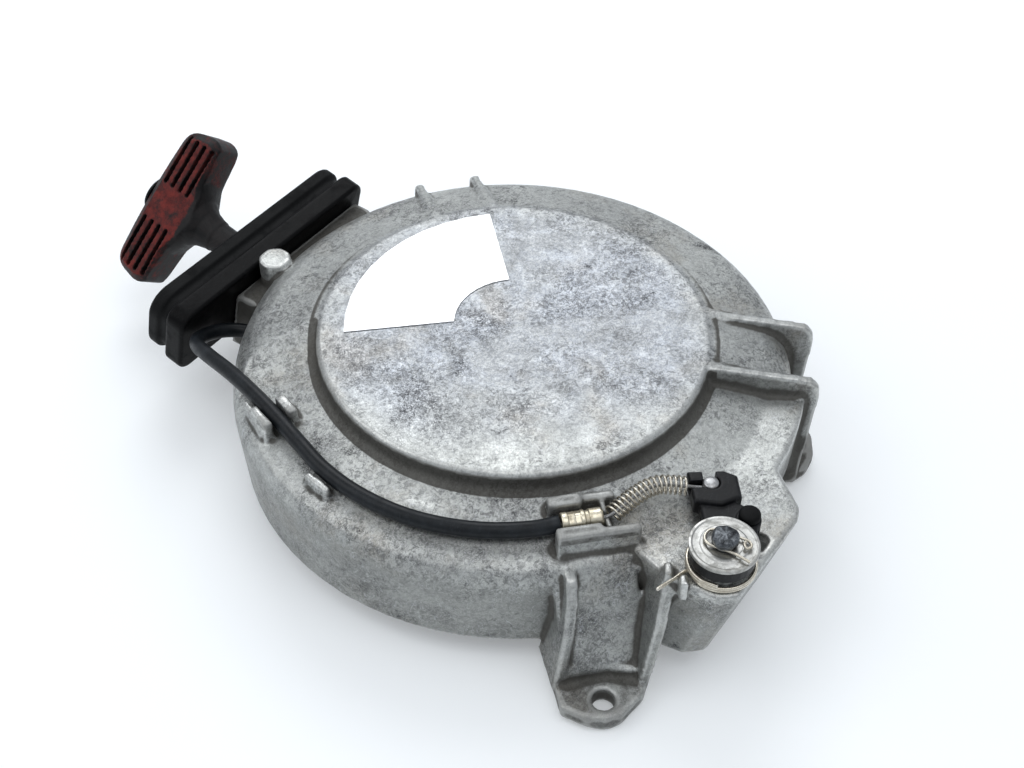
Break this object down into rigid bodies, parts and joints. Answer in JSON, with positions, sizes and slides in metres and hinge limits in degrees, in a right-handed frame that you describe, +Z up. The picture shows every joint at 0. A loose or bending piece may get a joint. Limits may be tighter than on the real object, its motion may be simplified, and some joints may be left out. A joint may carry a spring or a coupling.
{
  "type": "recoil starter",
  "caption": "Pull-rope recoil starter of an outboard engine: cast housing with rope reel, pawl, rewind spring, T handle, and a cable-worked start-in-gear stopper.",
  "frame": {"origin": "on the crank axis, at the face of the flat top disc", "axes": "+Z up along the crank axis; -Y towards the rope guide and handle; +X towards the control cable's side"},
  "size_m": [0.24, 0.3495, 0.0844],
  "materials": {
    "housing": "worn die-cast alloy, mottled",
    "label": "satin silver printed foil with no lettering",
    "guide_frame": "satin black moulding",
    "guide_seal": "matt black rubber",
    "guide_screw_1": "bright machined steel",
    "guide_screw_2": "bright machined steel",
    "rope_bush": "zinc plated, slightly yellow",
    "roller_pin": "bright machined steel",
    "control_cable": "matt black rubber",
    "cable_ferrule": "yellow-passivated zinc",
    "cable_end_fitting": "zinc plated, slightly yellow",
    "inner_wire": "bright machined steel",
    "return_spring": "zinc plated, slightly yellow",
    "torsion_spring": "zinc plated, slightly yellow",
    "rewind_spring": "blued spring strip",
    "thrust_washer": "bright machined steel",
    "friction_spring": "zinc plated, slightly yellow",
    "plate_washer": "bright machined steel",
    "retaining_bolt": "zinc plated, slightly yellow",
    "rope_run": "braided starter rope",
    "reel": "glass-filled nylon",
    "reel_bush": "sintered bronze",
    "rope_winding": "braided starter rope",
    "pawl_pin": "bright machined steel",
    "pawl": "bright machined steel",
    "pawl_spring": "zinc plated, slightly yellow",
    "friction_plate": "zinc plated, slightly yellow",
    "rope_roller": "bright machined steel",
    "handle": "worn red over dark grip",
    "handle_cap": "satin black moulding",
    "rope_knot": "braided starter rope",
    "stop_lever": "satin black moulding",
    "lever_button": "matt black rubber",
    "lever_washer": "zinc plated, slightly yellow",
    "stopper_shaft": "dark oxide",
    "stopper": "bright machined steel",
    "stopper_collar": "bright machined steel",
    "retaining_clip": "zinc plated, slightly yellow",
    "cable_nipple": "bright machined steel"
  },
  "bodies": {
    "housing": {"housing": "housing", "label": "label", "guide_frame": "guide_frame", "guide_seal": "guide_seal", "guide_screw_1": "guide_screw_1", "guide_screw_2": "guide_screw_2", "rope_bush": "rope_bush", "roller_pin": "roller_pin", "control_cable": "control_cable", "cable_ferrule": "cable_ferrule", "cable_end_fitting": "cable_end_fitting", "inner_wire": "inner_wire", "return_spring": "return_spring", "torsion_spring": "torsion_spring", "rewind_spring": "rewind_spring", "thrust_washer": "thrust_washer", "friction_spring": "friction_spring", "plate_washer": "plate_washer", "retaining_bolt": "retaining_bolt", "rope_run": "rope_run"},
    "reel": {"reel": "reel", "reel_bush": "reel_bush", "rope_winding": "rope_winding", "pawl_pin": "pawl_pin"},
    "pawl": {"pawl": "pawl", "pawl_spring": "pawl_spring"},
    "friction_plate": {"friction_plate": "friction_plate"},
    "rope_roller": {"rope_roller": "rope_roller"},
    "handle": {"handle": "handle", "handle_cap": "handle_cap", "rope_knot": "rope_knot"},
    "interlock": {"stop_lever": "stop_lever", "lever_button": "lever_button", "lever_washer": "lever_washer", "stopper_shaft": "stopper_shaft", "stopper": "stopper", "stopper_collar": "stopper_collar", "retaining_clip": "retaining_clip", "cable_nipple": "cable_nipple"}
  },
  "joints": [
    {"name": "reel_spin", "type": "hinge", "parent": "housing", "child": "reel", "pos_m": [0, 0, -0.035], "axis": [0, 0, -1], "range_deg": [0, 900], "stiffness_Nm_per_rad": 0.05, "springref_deg": -458.37, "deforming": ["rewind_spring"]},
    {"name": "handle_pull", "type": "slide", "parent": "housing", "child": "handle", "axis": [0, -0.972, 0.2351], "range_m": [0, 1.0135], "deforming": ["rope_run"]},
    {"name": "roller_spin", "type": "hinge", "parent": "housing", "child": "rope_roller", "pos_m": [0.0143, -0.1255, -0.035], "axis": [0, 0, 1], "range_deg": [0, 7960]},
    {"name": "pawl_swing", "type": "hinge", "parent": "reel", "child": "pawl", "pos_m": [-0.03444, -0.01606, -0.051], "axis": [0, 0, 1], "range_deg": [0, 28]},
    {"name": "friction_turn", "type": "hinge", "parent": "reel", "child": "friction_plate", "pos_m": [0, 0, -0.056], "axis": [0, 0, 1], "range_deg": [-14, 0]},
    {"name": "interlock_turn", "type": "hinge", "parent": "housing", "child": "interlock", "pos_m": [0.05, 0.129, -0.01], "axis": [0, 0, 1], "range_deg": [0, 28], "stiffness_Nm_per_rad": 0.25, "springref_deg": -22.92, "deforming": ["inner_wire", "return_spring", "torsion_spring"]}
  ],
  "couplings": [
    {"joint": "handle_pull", "follows": "reel_spin", "m_per_rad": 0.0645},
    {"joint": "roller_spin", "follows": "reel_spin", "ratio": 8.8356},
    {"joint": "friction_turn", "follows": "pawl_swing", "ratio": -0.48}
  ]
}
